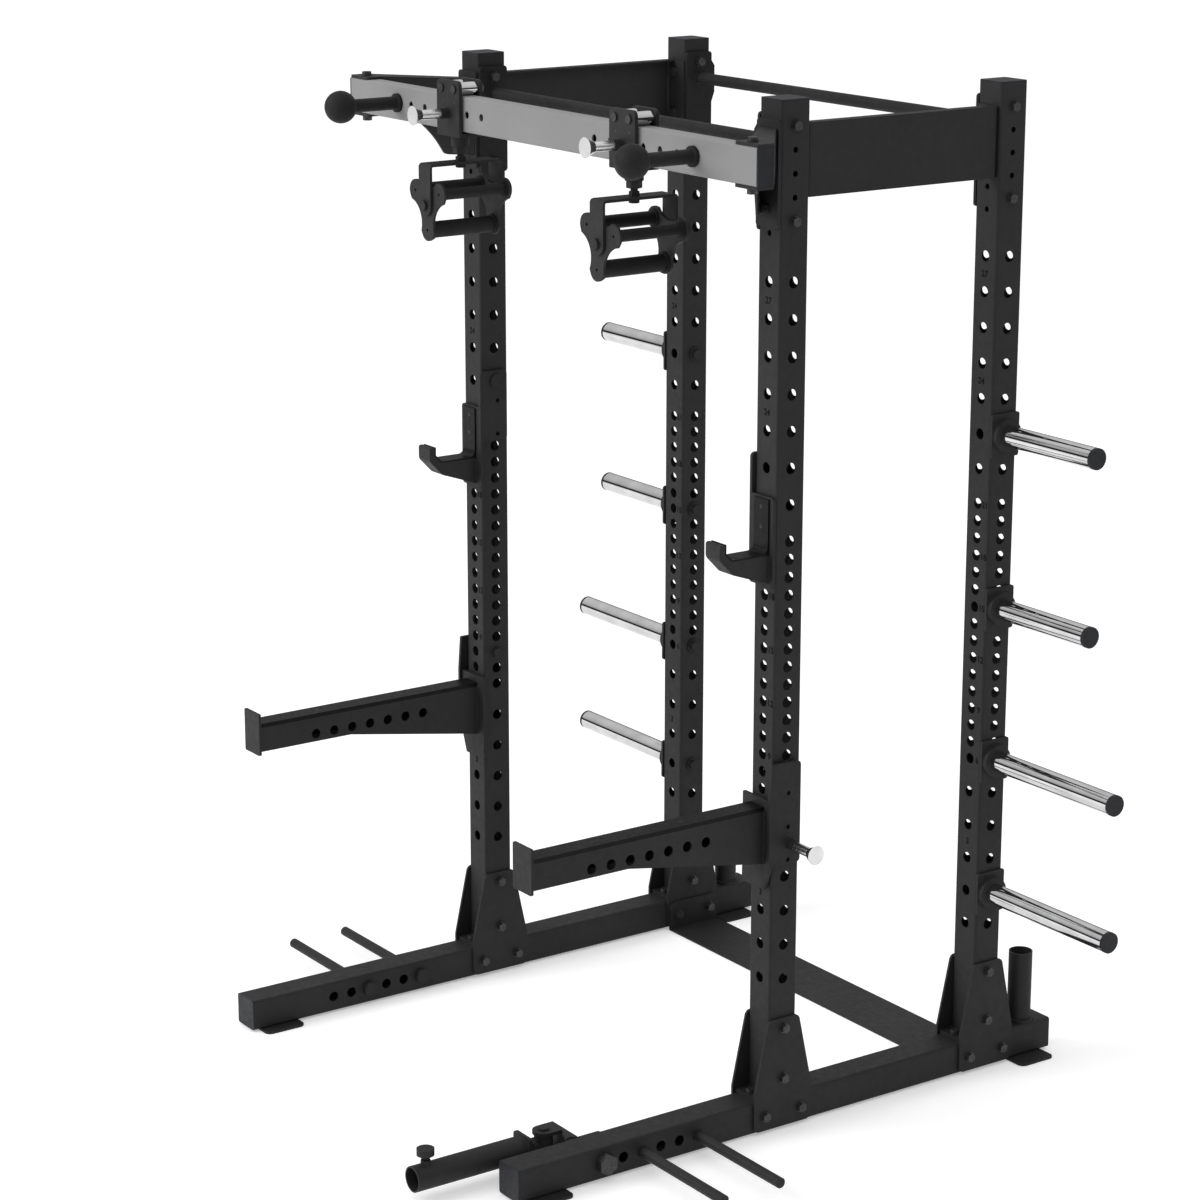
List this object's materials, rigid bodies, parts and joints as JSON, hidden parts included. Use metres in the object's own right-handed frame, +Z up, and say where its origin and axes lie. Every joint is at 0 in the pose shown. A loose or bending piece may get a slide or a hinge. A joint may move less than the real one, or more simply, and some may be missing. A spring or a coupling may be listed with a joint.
{
  "type": "half rack",
  "caption": "Half rack with hole-numbered uprights, front beam with rolling rotating grips, J-cups, spotter arms, plate pegs, band pegs and a landmine.",
  "frame": {"origin": "on the floor, in the middle of the rack's outline", "axes": "+X to the right of a user who faces the rack, +Y from the front into the rack, +Z up"},
  "size_m": [2.048, 1.6826, 2.3045],
  "materials": {
    "black_powder_coat": "matte black powder coat",
    "grey_powder_coat": "satin grey powder coat",
    "black_plastic": "moulded black plastic",
    "black_bolts": "black oxide steel",
    "chrome": "bright chrome",
    "pin_handles": "satin metal handle",
    "liner_plastic": "wear-resistant black plastic",
    "grip_black": "textured black powder coat"
  },
  "bodies": {
    "frame": {"upright_front_right": "black_powder_coat", "upright_front_left": "black_powder_coat", "upright_rear_right": "black_powder_coat", "upright_rear_left": "black_powder_coat", "upright_caps": "black_plastic", "base_rail_right": "black_powder_coat", "base_rail_left": "black_powder_coat", "rail_end_caps": "black_plastic", "foot_plates": "black_powder_coat", "gusset_plates": "black_powder_coat", "gusset_bolts": "black_bolts", "floor_crossmember": "black_powder_coat", "side_beam_right": "black_powder_coat", "side_beam_left": "black_powder_coat", "pull_up_bar_front": "grip_black", "pull_up_bar_rear": "grip_black", "upper_bolts": "black_bolts", "front_beam": "grey_powder_coat", "beam_end_caps": "black_plastic", "beam_arm_right": "black_powder_coat", "beam_arm_left": "black_powder_coat", "globe_grips": "grip_black", "band_pegs": "black_powder_coat", "storage_peg_bases": "black_powder_coat", "storage_sleeves": "chrome", "storage_end_caps": "black_plastic", "bar_holders": "black_powder_coat", "landmine_bracket": "black_powder_coat", "landmine_bolt": "black_bolts"},
    "landmine_yaw_block": {"landmine_block": "black_powder_coat"},
    "landmine_sleeve": {"landmine_tube": "black_powder_coat"},
    "landmine_clamp": {"landmine_screw": "black_powder_coat"},
    "carriage_right": {"carriage_frame_right": "black_powder_coat", "carriage_bolts_right": "black_bolts"},
    "carriage_lock_right": {"carriage_pin_right": "pin_handles"},
    "hanger_right": {"hanger_strap_right": "black_powder_coat"},
    "grip_set_right": {"rotor_plates_right": "black_powder_coat", "rotor_grips_right": "grip_black"},
    "cup_right": {"j_cup_right": "black_powder_coat", "j_cup_liner_right": "liner_plastic"},
    "spotter_right": {"spotter_arm_right": "black_powder_coat", "spotter_strip_right": "liner_plastic"},
    "spotter_lock_right": {"spotter_pin_right": "pin_handles"},
    "roller_inner_right_wheel": {"roller_inner_right": "chrome"},
    "roller_outer_right_wheel": {"roller_outer_right": "chrome"},
    "carriage_left": {"carriage_frame_left": "black_powder_coat", "carriage_bolts_left": "black_bolts"},
    "carriage_lock_left": {"carriage_pin_left": "pin_handles"},
    "hanger_left": {"hanger_strap_left": "black_powder_coat"},
    "grip_set_left": {"rotor_plates_left": "black_powder_coat", "rotor_grips_left": "grip_black"},
    "cup_left": {"j_cup_left": "black_powder_coat", "j_cup_liner_left": "liner_plastic"},
    "spotter_left": {"spotter_arm_left": "black_powder_coat", "spotter_strip_left": "liner_plastic"},
    "spotter_lock_left": {"spotter_pin_left": "pin_handles"},
    "roller_inner_left_wheel": {"roller_inner_left": "chrome"},
    "roller_outer_left_wheel": {"roller_outer_left": "chrome"}
  },
  "joints": [
    {"name": "carriage_right_slide", "type": "slide", "parent": "frame", "child": "carriage_right", "axis": [1, 0, 0], "range_m": [-0.233, 0.16]},
    {"name": "roller_inner_right_spin", "type": "hinge", "parent": "carriage_right", "child": "roller_inner_right_wheel", "pos_m": [0.317, -0.17925, 2.2544], "axis": [0, 1, 0], "continuous": true},
    {"name": "roller_outer_right_spin", "type": "hinge", "parent": "carriage_right", "child": "roller_outer_right_wheel", "pos_m": [0.369, -0.17925, 2.2544], "axis": [0, 1, 0], "continuous": true},
    {"name": "carriage_right_pin_pull", "type": "slide", "parent": "carriage_right", "child": "carriage_lock_right", "axis": [0, -1, 0], "range_m": [0, 0.014], "stiffness_N_per_m": 400, "springref_m": -0.02},
    {"name": "hanger_right_swivel", "type": "hinge", "parent": "carriage_right", "child": "hanger_right", "pos_m": [0.343, -0.17925, 2.1], "axis": [0, 0, 1], "continuous": true},
    {"name": "grip_set_right_turn", "type": "hinge", "parent": "hanger_right", "child": "grip_set_right", "pos_m": [0.343, -0.17925, 1.9945], "axis": [0, 1, 0], "continuous": true},
    {"name": "cup_right_tilt", "type": "hinge", "parent": "frame", "child": "cup_right", "pos_m": [0.531, 0.03675, 1.5205], "axis": [-1, 0, 0], "range_deg": [0, 90]},
    {"name": "spotter_right_tilt", "type": "hinge", "parent": "frame", "child": "spotter_right", "pos_m": [0.581, 0.03675, 0.8405], "axis": [-1, 0, 0], "range_deg": [0, 70]},
    {"name": "spotter_right_pin_pull", "type": "slide", "parent": "spotter_right", "child": "spotter_lock_right", "axis": [1, 0, 0], "range_m": [0, 0.014], "stiffness_N_per_m": 400, "springref_m": -0.02},
    {"name": "carriage_left_slide", "type": "slide", "parent": "frame", "child": "carriage_left", "axis": [-1, 0, 0], "range_m": [-0.233, 0.16]},
    {"name": "roller_inner_left_spin", "type": "hinge", "parent": "carriage_left", "child": "roller_inner_left_wheel", "pos_m": [-0.317, -0.17925, 2.2544], "axis": [0, 1, 0], "continuous": true},
    {"name": "roller_outer_left_spin", "type": "hinge", "parent": "carriage_left", "child": "roller_outer_left_wheel", "pos_m": [-0.369, -0.17925, 2.2544], "axis": [0, 1, 0], "continuous": true},
    {"name": "carriage_left_pin_pull", "type": "slide", "parent": "carriage_left", "child": "carriage_lock_left", "axis": [0, -1, 0], "range_m": [0, 0.014], "stiffness_N_per_m": 400, "springref_m": -0.02},
    {"name": "hanger_left_swivel", "type": "hinge", "parent": "carriage_left", "child": "hanger_left", "pos_m": [-0.343, -0.17925, 2.1], "axis": [0, 0, 1], "continuous": true},
    {"name": "grip_set_left_turn", "type": "hinge", "parent": "hanger_left", "child": "grip_set_left", "pos_m": [-0.343, -0.17925, 1.9945], "axis": [0, 1, 0], "continuous": true},
    {"name": "cup_left_tilt", "type": "hinge", "parent": "frame", "child": "cup_left", "pos_m": [-0.531, 0.03675, 1.5205], "axis": [-1, 0, 0], "range_deg": [0, 90]},
    {"name": "spotter_left_tilt", "type": "hinge", "parent": "frame", "child": "spotter_left", "pos_m": [-0.581, 0.03675, 0.8405], "axis": [-1, 0, 0], "range_deg": [0, 70]},
    {"name": "spotter_left_pin_pull", "type": "slide", "parent": "spotter_left", "child": "spotter_lock_left", "axis": [-1, 0, 0], "range_m": [0, 0.014], "stiffness_N_per_m": 400, "springref_m": -0.02},
    {"name": "landmine_yaw", "type": "hinge", "parent": "frame", "child": "landmine_yaw_block", "pos_m": [0.468, -0.50425, 0.05], "axis": [0, 0, 1], "range_deg": [-90, 10]},
    {"name": "landmine_pitch", "type": "hinge", "parent": "landmine_yaw_block", "child": "landmine_sleeve", "pos_m": [0.468, -0.53625, 0.05], "axis": [-1, 0, 0], "range_deg": [0, 38]},
    {"name": "landmine_clamp_turn", "type": "hinge", "parent": "landmine_sleeve", "child": "landmine_clamp", "pos_m": [0.468, -0.80725, 0.095], "axis": [0, 0, 1], "range_deg": [-360, 360]}
  ],
  "couplings": [
    {"joint": "roller_inner_right_spin", "follows": "carriage_right_slide", "rad_per_m": 66.667},
    {"joint": "roller_outer_right_spin", "follows": "carriage_right_slide", "rad_per_m": 66.667},
    {"joint": "roller_inner_left_spin", "follows": "carriage_left_slide", "rad_per_m": -66.667},
    {"joint": "roller_outer_left_spin", "follows": "carriage_left_slide", "rad_per_m": -66.667}
  ]
}
